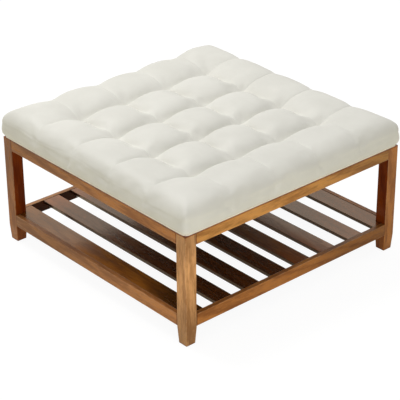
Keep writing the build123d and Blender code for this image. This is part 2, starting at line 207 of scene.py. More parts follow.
def wood(name, along, wood_colour, box=None, fades=(), inner=None, coat=0.04, gloss=0.25, rough=0.34):
    """
    Wood with its grain along an axis. A box brings dark ends, and painted shade on the narrow sides
    where inner isn't given. Each of the fades makes the colour lighter or darker between two places
    along the grain, as painted light and shade. Inner is the colour of the painted shade on the
    faces inside the frame, and brings worn edges too.
    """
    material, tree, surface, place = new_material(name)
    ways = put(tree, "SeparateXYZ", {0: place}).outputs
    stretch = [1.0, 1.0, 1.0]
    stretch[along] = 0.16
    shift = (0.31 * len(name), 0.17 * len(name), 0.0)
    light = colour(*(1.32 * x for x in wood_colour))
    dark = colour(*(x * y for x, y in zip((0.70, 0.60, 0.50), wood_colour)))
    worn = 0.0
    for (start, first), (end, last) in fades:
        strength = ease(tree, ways[along], start, end, first, last)
        light = tint(tree, 1.0, light, strength, "MULTIPLY")
        dark = tint(tree, 1.0, dark, strength, "MULTIPLY")
    if box:
        shift = tuple(3.7 * x for x in box[0])
        low, high = list(box[0]), list(box[1])
        from_end = calc(tree, "SUBTRACT", ways[along], low[along])
        to_end = calc(tree, "SUBTRACT", high[along], ways[along])
        joint_and_shade_mask = ease(tree, calc(tree, "MINIMUM", from_end, to_end), 0.0024, 0.0008, 0.0, 0.8)
        joint_and_shade_colours = inner or slat_edge_shade
        if inner:
            low[along] -= 0.01
            high[along] += 0.01
            inputs = {"Place": place, "Low": low, "High": high}
            worn = put(tree, "Group", inputs, node_tree=wear).outputs["Wear"]
            # The outer faces stand on the frame's outline. A place inside it gets painted shade,
            # and so does the top, as a painted shadow under the cushion's hem.
            reach = [calc(tree, "ABSOLUTE", ways[i]) for i in (X, Y)]
            outwards = calc(tree, "MAXIMUM", reach[X], reach[Y])
            drawn_in = calc(tree, "MAXIMUM", calc(tree, "SUBTRACT", foot_top, ways[Z]), 0.0)
            outwards = calc(tree, "MULTIPLY_ADD", drawn_in, foot_slope, outwards)
            inside = ease(tree, outwards, outer_face, inner_face)
            inside = calc(tree, "MULTIPLY", inside, ease(tree, ways[Z], *foot_shade, 0.5, 1.0))
            if high[Z] < shelf_level:
                # The top of a lower rail is left out of the painted shade and keeps the colour of
                # its outer face.
                below = ease(tree, ways[Z], rail_top, rail_top - 0.001)
                inside = calc(tree, "MULTIPLY", inside, below)
            painted_hem_shadow = ease(tree, ways[Z], *hem_shadow_band, 0.0, 0.8)
            joint_and_shade_mask = calc(tree, "MAXIMUM", calc(tree, "MAXIMUM", inside, painted_hem_shadow), joint_and_shade_mask)
        else:
            # The narrow sides of a slat get painted shade.
            beside = calc(tree, "SUBTRACT", ways[Y], low[Y])
            beside = calc(tree, "MINIMUM", beside, calc(tree, "SUBTRACT", high[Y], ways[Y]))
            joint_and_shade_mask = calc(tree, "MAXIMUM", joint_and_shade_mask, ease(tree, beside, 0.0009, 0.0002))
        light = tint(tree, joint_and_shade_mask, light, colour(*joint_and_shade_colours[0]))
        dark = tint(tree, joint_and_shade_mask, dark, colour(*joint_and_shade_colours[1]))
    drawn = put(tree, "Mapping", {"Vector": place, "Location": shift, "Scale": stretch}).outputs[0]
    inputs = {"Place": drawn, "Light": light, "Dark": dark, "Wear": worn, "Rough": rough}
    made = put(tree, "Group", inputs, node_tree=grain).outputs
    show(tree, surface, made["Color"], made["Roughness"], made["Height"], 0.25, 0.0003)
    surface.inputs["Coat Weight"].default_value = coat
    surface.inputs["Coat Roughness"].default_value = 0.10
    surface.inputs["Specular IOR Level"].default_value = gloss
    surface.inputs["Specular Tint"].default_value = colour(1.0, 0.70, 0.42)
    surface.inputs["IOR"].default_value = 1.5
    return material


# Each leg's colour, and how light it is at two heights, given once or twice. This is stain with
# painted light and shade: the front right leg is the lightest partly as painted light, each leg is
# darker towards its foot, and the front ones are darker towards the top too.
leg_stain_and_shade = {
    "front_right": ((0.63, 0.325, 0.130), ((0.04, 0.62), (0.22, 1.0)), ((0.26, 1.0), (0.36, 0.72))),
    "front_left": ((0.30, 0.108, 0.026), ((0.0, 0.9), (0.04, 1.0)), ((0.16, 1.0), (0.36, 0.70))),
    "back_right": ((0.38, 0.145, 0.033), ((0.0, 0.9), (0.04, 1.0))),
    "back_left": ((0.37, 0.140, 0.034), ((0.0, 0.9), (0.04, 1.0))),
}
for corner, (wood_colour, *fades) in leg_stain_and_shade.items():
    node = "leg_" + corner
    dress(node, wood(node + " wood", Z, wood_colour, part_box(node), fades, painted_inner_shade))

# Aprons and lower rails: straight boards of the same wood, grain along their length, glued and
# dowelled between the legs, flush with the legs' outer faces. Each board's colour, and its fade
# along its length, carry painted light and shade besides the stain: the right apron is the
# lightest, and the left lower rail is greyer with a painted sheen.
board_stain_and_shade = {
    "apron_front": ((0.37, 0.145, 0.034), ((-0.40, 0.80), (0.30, 1.10))),
    "apron_right": ((0.53, 0.245, 0.060), ((0.00, 1.0), (0.40, 0.66))),
    "apron_back": ((0.40, 0.155, 0.038), ((-0.30, 1.0), (0.30, 0.9))),
    "apron_left": ((0.40, 0.155, 0.038), ((-0.30, 0.9), (0.30, 1.0))),
    "lower_rail_front": ((0.44, 0.180, 0.052), ((-0.30, 0.66), (0.30, 1.0))),
    "lower_rail_right": ((0.41, 0.158, 0.035), ((-0.05, 1.0), (0.28, 0.58))),
    "lower_rail_back": ((0.38, 0.145, 0.036), ((-0.30, 1.0), (0.30, 0.9))),
    "lower_rail_left": ((0.40, 0.190, 0.075), ((-0.30, 0.9), (0.30, 1.0))),
}
for node, (wood_colour, fade) in board_stain_and_shade.items():
    along = X if node.endswith(("front", "back")) else Y
    inner = painted_inner_shade if node.startswith("apron") else painted_rail_shade
    dress(node, wood(node + " wood", along, wood_colour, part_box(node), (fade,), inner))

# Dowels: turned pins of pale beech, two at each end of an apron or a lower rail, glued half in the
# leg and half in the board.
beech = wood("beech", X, (0.60, 0.43, 0.25), coat=0.0)
for node in ("apron_dowels", "lower_rail_dowels"):
    dress(node, beech)

# Shelf slats: eight thin boards between the left and the right rail, open gaps between them,
# lacquered, so that they mirror the light that gets in. They are coloured darker than the frame,
# partly as painted shade under the cushion, and fades paint light on them. Each slat is lighter at
# its left end; those at the back are lighter towards the right and those at the front darker there.
# The front slat is painted palest at its middle and dark at both ends.
slat_stain_and_shade = (0.152, 0.042, 0.0080)
front_slat_glow = (0.340, 0.115, 0.0130)
front_glow_fades = (((-0.42, 0.60), (-0.05, 1.0)), ((0.16, 1.0), (0.36, 0.30)))
for i in range(1, 9):
    node = f"slat_{i}"
    right_end = 1.4 if i > 4 else 0.6
    fades = (((-0.42, 1.5), (-0.10, 1.0)), ((0.10, 1.0), (0.42, right_end)))
    wood_colour, fades = (front_slat_glow, front_glow_fades) if i == 1 else (slat_stain_and_shade, fades)
    look = wood(node + " wood", X, wood_colour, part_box(node), fades, coat=0.0, gloss=1.3, rough=0.22)
    dress(node, look)

# Braces and their screws: stamped plates, bent square and plated bright zinc, under each slat end,
# held by a pan-head screw into the rail and another into the slat.
scuffs, given, gives = effect(
    "metal scuffs",
    {"Place": "Vector", "Colour": "Color", "Polish": "Float"},
    {"Color": "Color", "Roughness": "Float", "Height": "Float"},
)
clouds = noise(scuffs, given["Place"], 120, 3, 0.6)
scratches = noise(scuffs, given["Place"], 900, 2, 0.5, 2.5)
dull = tint(scuffs, 0.35, given["Colour"], colour(0.35, 0.36, 0.38))
plated = tint(scuffs, ease(scuffs, clouds, 0.35, 0.70), given["Colour"], dull)
rough = calc(scuffs, "MULTIPLY_ADD", clouds, 0.22, given["Polish"])
give(scuffs, gives, Color=plated, Roughness=rough, Height=scratches)


def metal(name, shade, polish):
    """Plated steel of a plain shade; a low polish figure is a bright one."""
    material, tree, surface, place = new_material(name)
    inputs = {"Place": place, "Colour": colour(*shade), "Polish": polish}
    made = put(tree, "Group", inputs, node_tree=scuffs).outputs
    show(tree, surface, made["Color"], made["Roughness"], made["Height"], 0.15, 0.0001)
    surface.inputs["Metallic"].default_value = 1.0
    return material


zinc = metal("bright zinc", (0.80, 0.80, 0.80), 0.40)
screw_zinc = metal("screw zinc", (0.66, 0.66, 0.66), 0.20)
for side in ("left", "right"):
    dress("slat_braces_" + side, zinc)
    dress("rail_screws_" + side, screw_zinc)
    dress("slat_screws_" + side, screw_zinc)

# Corner blocks: sawn softwood, glued into each corner of the aprons and round the leg, with two
# countersunk screws into the aprons.
softwood = wood("bare softwood", X, (0.58, 0.41, 0.23), coat=0.0)
for corner in leg_stain_and_shade:
    dress("corner_block_" + corner, softwood)
dress("corner_block_screws", screw_zinc)

# Deck: a board of plywood, its plies showing at the edge, pulled down on the corner blocks by four
# bolts with washers, each into a T-nut let into the board's top.
plywood = wood("plywood", X, (0.58, 0.42, 0.25), coat=0.0)
tree = plywood.node_tree
surface = tree.nodes["Principled BSDF"]
veneer = surface.inputs["Base Color"].links[0].from_socket
height = put(tree, "SeparateXYZ", {0: put(tree, "TexCoord").outputs["Object"]}).outputs[Z]
ply_thickness = 0.0024
from_low = calc(tree, "SUBTRACT", height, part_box("deck_board")[0][Z])
from_glue = calc(tree, "PINGPONG", from_low, ply_thickness)
glue = ease(tree, from_glue, 0.00025, 0.0006, 0.55, 1.0)
darker = put(tree, "CombineColor", {0: glue, 1: glue, 2: glue}).outputs[0]
tree.links.new(tint(tree, 1.0, veneer, darker, "MULTIPLY"), surface.inputs["Base Color"])
dress("deck_board", plywood)
for node in ("deck_bolts", "deck_bolt_washers", "deck_tee_nuts"):
    dress(node, zinc)

# Cushion form: five by five pillows between four by four tufts. A grid for the top is drawn down
# its sides in rings, then every point goes to its place: creases run between the tufts and out
# over the edges, each pillow swells between them, and the edge rolls over to a soft shoulder.
half = 0.450
frame_top = 0.377
pillow = 0.180
outer_tuft = 1.5 * pillow
crown_rise = 0.0945
shoulder_rise = 0.050
most_drop = crown_rise - shoulder_rise
shoulder_reach = half + 0.0010
shoulder_corner = 0.018
fuller_corner = 0.050
bottom_corner = 0.016
# The roll's radius, and the smaller ones at the left, the right and the front edge.
roll_radius = 0.066
left_roll, right_roll, front_roll = 0.060, 0.054, 0.056
# Depths below the crowns: of the tufts, of the creases half way between two, and of the creases
# where they reach the edge, at the back and front, at the left and at the right.
tuft_depth = 0.0382
crease_depth = 0.0285
rim_depth = 0.0060
left_rim_depth, right_rim_depth = 0.010, 0.004
# Places along the left edge, and how much the crown stands higher there.
left_places = (-0.32, -0.22, -0.06, 0.08, 0.13, 0.24, 0.33, 0.43)
left_lifts = (0.003, 0.0075, 0.001, 0.001, 0.004, 0.001, 0.011, 0.001)
# How many of the grid's faces go across a pillow, and what a pillow takes of the grid's -1 to 1.
cells = 16
pillow_share = 0.4


def risen(away, soft, steep=0.65):
    """How far a pillow has risen beside a crease, at a share of its half width."""
    away = (np.sqrt(away**2 + soft**2) - soft) / (np.sqrt(1 + soft**2) - soft)
    return (1 - (1 - away) ** 2.5) ** steep


def past_tufts(place):
    """How deep a crease still is between the outer tufts and the edge, as a share."""
    past = np.clip((np.abs(place) - outer_tuft) / pillow, 0, 1)
    return np.exp(-((past / 0.20) ** 1.3)), past > 0


def front_to_back(y, away_y):
    """Depth of the bottom of a crease that runs from front to back, as a share of the tufts'."""
    inner = 1 - (1 - crease_depth / tuft_depth) * np.sin(np.pi / 2 * away_y) ** 1.5
    share, outer = past_tufts(y)
    rim = rim_depth / tuft_depth
    return np.where(outer, rim + (1 - rim) * share, inner)


def side_to_side(x):
    """The same from side to side: it fades before it comes to the tuft on its right."""
    along = (x / pillow + 0.5) % 1
    deepest, least = crease_depth / tuft_depth, 0.14
    inner = least + (deepest - least) * np.interp(
        along, (0, 0.04, 0.10, 0.45, 0.60, 0.75, 0.90, 1), (0, 0.5, 1, 1, 0.80, 0.35, 0.05, 0)
    )
    share, outer = past_tufts(x)
    rim = np.where(x < 0, left_rim_depth, right_rim_depth) / tuft_depth
    return np.where(outer, rim + (least - rim) * share, inner)


def laid_out(u):
    """Place across the cushion, share of the way from the crease and distance from the shoulder."""
    side = np.abs(u)
    inner, outer = pillow_share / 2, 0.6
    middle = np.abs((side + inner) % pillow_share - inner) / inner
    from_crease = (1 - middle) ** 1.7
    nearest = np.where(side < pillow_share, 0.5, 1.5) * pillow
    outwards = np.where((side > inner) & (side < pillow_share), 1, -1)
    across = nearest + outwards * from_crease * pillow / 2
    # Past the outer tufts, the grid lies level first, and then goes round the roll.
    t = np.clip((side - outer) / pillow_share, 0, 1)
    level_share = 0.45
    flat = shoulder_reach - roll_radius - outer_tuft
    level = np.clip(t / level_share, 0, 1) ** 1.4 * flat
    turn = (1 - np.clip((t - level_share) / (1 - level_share), 0, 1)) * np.pi / 2
    rolled = shoulder_reach - roll_radius * (1 - np.cos(turn))
    end = np.where(t < level_share, outer_tuft + level, rolled)
    place = np.where(side > outer, end, across)
    away = np.where(side > outer, np.clip((end - outer_tuft) / (pillow / 2), 0, 1), from_crease)
    return np.sign(u) * place, away, shoulder_reach - place


def rolled_off(distance, radius):
    """How far the edge's roll has dropped below the crown, at a distance in from the shoulder."""
    k = np.clip(distance / radius, 0, 1)
    return most_drop * (1 - np.sqrt(1 - (1 - k) ** 2))


def round_corner(x, y, reach, corner):
    """Moves the points in the square corner of an outline onto a quarter disc."""
    zone_x = np.clip((np.abs(x) - reach + corner) / corner, 0, 1)
    zone_y = np.clip((np.abs(y) - reach + corner) / corner, 0, 1)
    base_x = np.minimum(np.abs(x), reach - corner)
    base_y = np.minimum(np.abs(y), reach - corner)
    over_x = np.maximum(np.abs(x) - reach, 0)
    over_y = np.maximum(np.abs(y) - reach, 0)
    new_x = base_x + corner * zone_x * np.sqrt(1 - zone_y**2 / 2) + over_x
    new_y = base_y + corner * zone_y * np.sqrt(1 - zone_x**2 / 2) + over_y
    return np.sign(x) * new_x, np.sign(y) * new_y


def top_corner(x, y):
    """The radius of the shoulder's corner, which is fuller at the back left."""
    return np.where((x < 0) & (y > 0), fuller_corner, shoulder_corner)


def from_tuft_line(place):
    """How far a place lies from the nearest line of tufts, with its sign."""
    lines = [place < -pillow, place < 0, place < pillow]
    return place - np.select(lines, [-1.5, -0.5, 0.5], 1.5) * pillow


def top_points(u, v):
    """The top of the cushion's skin at grid places from -1 to 1."""
    x, away_x, edge_x = laid_out(u)
    y, away_y, edge_y = laid_out(v)
    # The creases run from tuft to tuft, and die out between the outer tufts and the edge. The
    # softer a crease, the more gently its walls slope: half way between two tufts, at the left of
    # each tuft, and past the outer tufts.
    off_x, off_y = from_tuft_line(x), from_tuft_line(y)
    along = (x / pillow + 0.5) % 1
    soft_y = 0.02 + 0.33 * np.clip((along - 0.45) / 0.35, 0, 1) * np.clip((1 - along) / 0.05, 0, 1)
    near = np.cos(np.pi / 2 * away_y) ** 2
    soft_x = 0.01 + np.where(off_x < 0, 0.22 * near, 0.14 * near**3)
    past_x = np.clip((np.abs(x) - outer_tuft) / 0.04, 0, 1)
    past_y = np.clip((np.abs(y) - outer_tuft) / 0.04, 0, 1)
    soft_x = soft_x * (1 - past_y) + 0.20 * past_y
    soft_y = soft_y * (1 - past_x) + np.where(x < 0, 0.90, 0.35) * past_x
    steep = np.where(off_x < 0, 0.65, 0.55)
    beside_x = 1 - front_to_back(y, away_y) * (1 - risen(away_x, soft_x, steep))
    beside_y = 1 - side_to_side(x) * (1 - risen(away_y, soft_y))
    sunk = tuft_depth * (1 - beside_x * beside_y)
    # Small folds fan out from the tuft.
    fold_height, fold_reach = 0.0010, 0.018
    away = np.hypot(off_x, off_y) / fold_reach
    turned = 40 * (x - off_x) + 70 * (y - off_y)
    way = np.arctan2(off_y, off_x)
    fold = np.cos(7 * way + turned) + 0.6 * np.cos(11 * way - turned)
    sunk += fold_height * fold * away * np.exp(1 - away)
    # Between the outer tufts and the front edge, the crease goes on as a fine line.
    line_depth, line_width, line_end, fading = 0.0022, 0.0026, 0.040, 0.02
    line = np.exp(-((np.abs(off_x) / line_width) ** 2))
    line = line * np.clip((edge_y - line_end) / fading, 0, 1) * np.clip(-off_y / fading, 0, 1)
    sunk += np.where(y < -outer_tuft, line_depth * line, 0)
    # Where two rolls meet, the share of one and the share of the other round the corner.
    share_x = rolled_off(edge_x, np.where(x < 0, left_roll, right_roll)) / most_drop
    share_y = rolled_off(edge_y, np.where(y < 0, front_roll, roll_radius)) / most_drop
    drop = most_drop * (1 - (1 - share_x**5) * (1 - share_y**5)) ** 0.2
    lift_place = 0.055
    lift = np.interp(y, left_places, left_lifts)
    lift *= np.exp(-(((edge_x - lift_place) / lift_place) ** 2)) * (x < 0)
    height = frame_top + crown_rise + lift - drop - sunk
    x, y = round_corner(x, y, shoulder_reach, top_corner(x, y))
    return np.stack([x, y, height], 1)


def clear_selection():
    bpy.ops.object.select_all(action="DESELECT")


def select_only(obj):
    clear_selection()
    obj.select_set(True)
    bpy.context.view_layer.objects.active = obj


def finish_mesh(obj, name):
    """Applies the object's place, names it and gives back its mesh."""
    select_only(obj)
    bpy.ops.object.transform_apply(location=True, rotation=True, scale=True)
    obj.name = obj.data.name = name
    return obj.data


def points_of(mesh):
    """The places of a mesh's vertices, one row each."""
    flat = np.empty(len(mesh.vertices) * 3)
    mesh.vertices.foreach_get("co", flat)
    return flat.reshape(-1, 3)


def set_points(mesh, points):
    mesh.vertices.foreach_set("co", np.ascontiguousarray(points).ravel())
    mesh.update()


def normals_of(mesh):
    """The ways that a mesh's vertices face, one row each."""
    flat = np.empty(len(mesh.vertices) * 3)
    mesh.vertex_normals.foreach_get("vector", flat)
    return flat.reshape(-1, 3)


def turn_outwards():
    """In edit mode, selects all faces and turns them outwards."""
    bpy.ops.mesh.select_all(action="SELECT")
    bpy.ops.mesh.normals_make_consistent(inside=False)


def apply_modifier(obj, kind, **settings):
    """Adds a modifier with its settings and applies it."""
    modifier = obj.modifiers.new(kind.lower(), kind)
    for name, value in settings.items():
        setattr(modifier, name, value)
    bpy.context.view_layer.objects.active = obj
    bpy.ops.object.modifier_apply(modifier=modifier.name)


def ripple(angle, phase, *waves):
    """An uneven wave along the cushion's edge, from a few whole numbers of waves round it."""
    return sum(np.sin(n * angle + phase * n * 1.7 + n) for n in waves) / len(waves)


# How far the side stands out from the frame's face, and how high over its top, in metres.
side_rings = (
    (0.0003, 0.0470),
    (0.0008, 0.0432),
    (0.0018, 0.0388),
    (0.0029, 0.0340),
    (0.0038, 0.0290),
    (0.0045, 0.0240),
    (0.0047, 0.0195),
    (0.0041, 0.0152),
    (0.0030, 0.0116),
    (0.0014, 0.0090),
    (0.0010, 0.0078),
    (-0.0004, 0.0057),
    (-0.0022, 0.0040),
    (-0.0045, 0.0040),
    (-0.0045, 0.0002),
    (-0.0100, 0.0002),
    (-0.0350, 0.0002),
    (-0.0660, 0.0002),
)
# Rings are counted down from the shoulder. The foot has fine puckers from the pucker ring on, the
# leather lies flat as a flange after the foot ring, and the foam ends at the foam ring.
pucker_ring = 9
foot_ring = 13
foam_ring = 9

clear_selection()
bpy.ops.mesh.primitive_grid_add(x_subdivisions=5 * cells, y_subdivisions=5 * cells, size=2)
skin = bpy.context.object
# The grid's rim is extruded once for each ring, and the ring's number is kept by its height.
bpy.ops.object.mode_set(mode="EDIT")
bpy.ops.mesh.select_all(action="SELECT")
bpy.ops.mesh.region_to_loop()
for ring in side_rings:
    bpy.ops.mesh.extrude_region_move(TRANSFORM_OT_translate={"value": (0, 0, -1)})
bpy.ops.object.mode_set(mode="OBJECT")
skin_mesh = finish_mesh(skin, "tufted_skin")
raw = points_of(skin_mesh)
u, v, ring = raw[:, 0], raw[:, 1], np.rint(-raw[:, 2]).astype(int)
shape = top_points(u, v)
rim_height = shape[:, 2] - frame_top
square_x, square_y = laid_out(u)[0], laid_out(v)[0]
angle = np.arctan2(square_y, square_x)
for number, (out, height) in enumerate(side_rings, start=1):
    on = ring == number
    share = height / shoulder_rise
    full = top_corner(square_x[on], square_y[on])
    corner = bottom_corner + (full - bottom_corner) * share
    reach = half + out
    pucker = 0.0
    if number <= foot_ring:
        pucker = 0.0006 * ripple(angle[on], 0.3, 37, 53, 71, 97) * (1 - 0.6 * share)
    if pucker_ring <= number <= foot_ring:
        pucker = pucker + 0.0005 * ripple(angle[on], 1.1, 131, 173, 211)
    stretch = (reach + pucker) / shoulder_reach
    x, y = round_corner(square_x[on] * stretch, square_y[on] * stretch, reach, corner)
    wave = (rim_height[on] - shoulder_rise) * share**2
    shape[on] = np.stack([x, y, frame_top + height + wave], 1)
# The filling stands fuller at the front left and the back right corner, and lower at the back left
# one. Each has its corner, how far it goes outwards and how far upwards.
fullness = (((-1, -1), 0.0055, 0.0035), ((1, 1), 0.0035, 0.0045), ((-1, 1), 0.0000, -0.0040))
for (way_x, way_y), outwards, upwards in fullness:
    away = np.hypot(shape[:, 0] - way_x * half, shape[:, 1] - way_y * half)
    height = shape[:, 2] - frame_top
    near = np.exp(-((away / 0.075) ** 2))
    bulge = outwards * near * np.exp(-(((height - 0.045) / 0.024) ** 2)) / math.sqrt(2)
    shape[:, 0] += way_x * bulge
    shape[:, 1] += way_y * bulge
    lift = np.clip((height - 0.02) / 0.05, 0, 1) * upwards
    shape[:, 2] += lift * np.exp(-((away / 0.13) ** 2))
set_points(skin_mesh, shape)
bpy.ops.object.mode_set(mode="EDIT")
turn_outwards()
bpy.ops.object.mode_set(mode="OBJECT")


def puff_up(obj, held, pressure, most_out, most_in):
    """Blows the skin up as cloth, lets no point go far, and keeps the held points in place."""
    group = obj.vertex_groups.new(name="held")
    for index, weight in enumerate(held):
        if weight > 0:
            group.add([index], float(weight), "REPLACE")
    modifier = obj.modifiers.new("cloth", "CLOTH")
    cloth = modifier.settings
    cloth.quality = 6
    cloth.mass = 0.25
    cloth.tension_stiffness = cloth.compression_stiffness = 12
    cloth.shear_stiffness = 6
    cloth.bending_stiffness = 0.6
    cloth.vertex_group_mass = "held"
    cloth.pin_stiffness = 2
    cloth.use_pressure = True
    cloth.uniform_pressure_force = pressure
    cloth.shrink_min = -0.012
    cloth.effector_weights.gravity = 0
    modifier.collision_settings.use_collision = False
    scene = bpy.context.scene
    last_frame = 20
    for number in range(1, last_frame + 1):
        scene.frame_set(number)
    settled = obj.evaluated_get(bpy.context.evaluated_depsgraph_get())
    blown = points_of(settled.to_mesh())
    settled.to_mesh_clear()
    obj.modifiers.remove(modifier)
    scene.frame_set(1)
    before, facing = points_of(obj.data), normals_of(obj.data)
    moved = blown - before
    outward = (moved * facing).sum(1)
    sideways = moved - outward[:, None] * facing
    kept = np.clip(outward, -most_in, most_out)[:, None] * facing
    length = np.maximum(np.linalg.norm(sideways, axis=1, keepdims=True), 1e-9)
    kept += sideways * np.minimum(1, most_out / length)
    set_points(obj.data, before + kept)


# The twines hold the tufts, the seams hold the creases nearly as firmly, and the staples the foot.
tuft_radius = 0.012
start = points_of(skin_mesh)
on_top = ring == 0
away_x, away_y = laid_out(u)[1], laid_out(v)[1]
from_middle_x, from_middle_y = np.abs(start[:, X]), np.abs(start[:, Y])
from_tuft = np.hypot(
    from_middle_x - np.where(from_middle_x < pillow, 0.5, 1.5) * pillow,
    from_middle_y - np.where(from_middle_y < pillow, 0.5, 1.5) * pillow,
)
held = np.where(on_top & (from_tuft < tuft_radius), 1.0, 0.0)
on_crease = on_top & (np.minimum(away_x, away_y) < 0.01)
held = np.where(on_crease & (from_tuft >= tuft_radius), 0.9, held)
held = np.where(ring >= foot_ring - 3, 1.0, held)
puff_up(skin, held, pressure=1.5, most_out=0.0025, most_in=0.0015)

# Foam block: one piece of pale polyurethane foam, glued to the deck and pulled down by the tufts.
# It fills the cover, and lies flat on the plywood.
select_only(skin)
bpy.ops.object.duplicate()
foam = bpy.context.object
foam.vertex_groups.clear()
deck_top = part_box("foam_block")[0][Z]
under_cover = 0.0038
shrunk = points_of(foam.data) - under_cover * normals_of(foam.data)
lowest = np.maximum(shrunk[:, Z], deck_top)
shrunk[:, Z] = np.where(ring >= foam_ring, deck_top, lowest)
set_points(foam.data, shrunk)
# The rings below the foam's foot go, and one face closes it underneath.
bpy.ops.object.mode_set(mode="EDIT")
bpy.ops.mesh.select_mode(type="VERT")
bpy.ops.mesh.select_all(action="DESELECT")
bpy.ops.object.mode_set(mode="OBJECT")
for vertex, number in zip(foam.data.vertices, ring):
    vertex.select = bool(number > foam_ring)
bpy.ops.object.mode_set(mode="EDIT")
bpy.ops.mesh.delete(type="VERT")
bpy.ops.mesh.select_all(action="SELECT")
bpy.ops.mesh.region_to_loop()
bpy.ops.mesh.edge_face_add()
turn_outwards()
bpy.ops.object.mode_set(mode="OBJECT")
finish_mesh(foam, "foam_filling")

foam_finish, tree, surface, place = new_material("cream foam")
cell = put(tree, "TexVoronoi", {"Vector": place, "Scale": 900}).outputs["Distance"]
patchy = noise(tree, place, 25, 3)
shade = tint(tree, patchy, colour(0.78, 0.70, 0.46), colour(0.86, 0.80, 0.60))
show(tree, surface, shade, 0.95, cell, 0.5, 0.0006)
foam.data.materials.append(foam_finish)
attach(foam, "root")
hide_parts("foam_block")

# Tufted cover: cream leather over wadding, sewn to the cushion's shape, drawn down over foam and
# deck, and stapled flat under the deck's edge. The tufts pull it in at sixteen places.
select_only(skin)
skin.vertex_groups.clear()
leather_thickness = 0.0025
flange_share = 0.48
full = skin.vertex_groups.new(name="full thickness")
full.add([int(i) for i in np.flatnonzero(ring <= foot_ring)], 1.0, "REPLACE")
apply_modifier(
    skin, "SOLIDIFY", thickness=leather_thickness, offset=-1, vertex_group="full thickness",
    thickness_vertex_group=flange_share, use_even_offset=False,
)
apply_modifier(skin, "SUBSURF", levels=1, render_levels=1)
skin.vertex_groups.clear()
bpy.ops.object.shade_smooth()

leather, tree, surface, place = new_material("cream leather")
mottle = noise(tree, place, 9, 4, 0.55)
pebble = put(tree, "TexVoronoi", {"Vector": place, "Scale": 620}).outputs["Distance"]
stretch_lines = noise(tree, place, 60, 4, 0.6, 0.6)
darker, lighter = colour(0.735, 0.725, 0.665), colour(0.785, 0.775, 0.715)
shade = tint(tree, ease(tree, mottle, 0.3, 0.7), darker, lighter)
# A painted highlight lies along the folded foot of the leather. Above it, along the front, runs a
# long crease that wanders up and down and fades towards both corners, darkened with painted shade.
ways = put(tree, "SeparateXYZ", {0: place}).outputs
foot_highlight = ease(tree, ways[Z], frame_top + 0.0085, frame_top + 0.0060)
shade = tint(tree, foot_highlight, shade, colour(0.97, 0.90, 0.76))
crease_height = frame_top + 0.0735
wander = calc(tree, "MULTIPLY_ADD", noise(tree, place, 5, 1), 0.030, ways[Z])
from_crease = calc(tree, "ABSOLUTE", calc(tree, "SUBTRACT", wander, crease_height))
crease = ease(tree, from_crease, 0.0042, 0.0006)
for faded in (
    ease(tree, ways[Y], -0.442, -0.450),
    ease(tree, ways[X], 0.25, 0.0),
    ease(tree, ways[X], -0.42, -0.32, 0.2, 1.0),
):
    crease = calc(tree, "MULTIPLY", crease, faded)
# Painted shade darkens the crease.
shade = tint(tree, calc(tree, "MULTIPLY", crease, 0.09), shade, colour(0.42, 0.39, 0.30))
rough = calc(tree, "MULTIPLY_ADD", mottle, 0.12, 0.47)
raised = calc(tree, "MULTIPLY_ADD", stretch_lines, 1.2, pebble)
raised = calc(tree, "MULTIPLY_ADD", crease, -1.6, raised)
show(tree, surface, shade, rough, raised, 0.18, 0.0008)
surface.inputs["Specular IOR Level"].default_value = 0.32
skin.data.materials.append(leather)
skin.name = skin.data.name = "tufted_leather_cover"
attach(skin, "root")
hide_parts("tufted_cover")

# Tuft twines and washers: a waxed twine from each tuft through foam and deck, knotted over a
# washer of brown fibre under the plywood.
twine, tree, surface, place = new_material("waxed twine")
inputs = {"Vector": place, "Scale": 260, "Distortion": 1.5}
strands = put(tree, "TexWave", inputs, bands_direction="DIAGONAL").outputs["Fac"]
shade = tint(tree, strands, colour(0.52, 0.47, 0.36), colour(0.76, 0.72, 0.60))
show(tree, surface, shade, 0.7, strands, 0.6, 0.0003)
dress("tuft_twines", twine)

fibre, tree, surface, place = new_material("pressed fibre")
flecks = ease(tree, noise(tree, place, 420, 4, 0.65), 0.35, 0.7)
shade = tint(tree, flecks, colour(0.09, 0.055, 0.034), colour(0.20, 0.125, 0.08))
show(tree, surface, shade, 0.8)
dress("tuft_washers", fibre)

# Hem welt: a thin strip of the same leather, folded round a cord and sewn along the cushion's
# foot, so that it rests on the frame's top all the way round.
welt_height = 0.0040
welt_reach = half - 0.0028
clear_selection()
bpy.ops.mesh.primitive_plane_add(size=2 * welt_reach, location=(0, 0, frame_top + welt_height / 2))
welt = bpy.context.object
bpy.ops.object.mode_set(mode="EDIT")
bpy.ops.mesh.select_all(action="SELECT")
bpy.ops.mesh.bevel(offset=bottom_corner, segments=8, affect="VERTICES")
bpy.ops.mesh.delete(type="ONLY_FACE")
bpy.ops.object.mode_set(mode="OBJECT")
bpy.ops.object.convert(target="CURVE")
welt.data.bevel_depth = welt_height / 2
welt.data.bevel_resolution = 3
bpy.ops.object.convert(target="MESH")
finish_mesh(welt, "leather_hem_welt")
bpy.ops.object.shade_smooth()
# The welt's leather is coloured paler than the cover's, as a painted highlight.
hem, tree, surface, place = new_material("hem leather")
creasing = noise(tree, place, 210, 3, 0.6)
shade = tint(tree, creasing, colour(0.88, 0.83, 0.72), colour(0.96, 0.92, 0.83))
show(tree, surface, shade, 0.45, creasing, 0.4, 0.0005)
welt.data.materials.append(hem)
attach(welt, "root")
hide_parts("hem_welt")

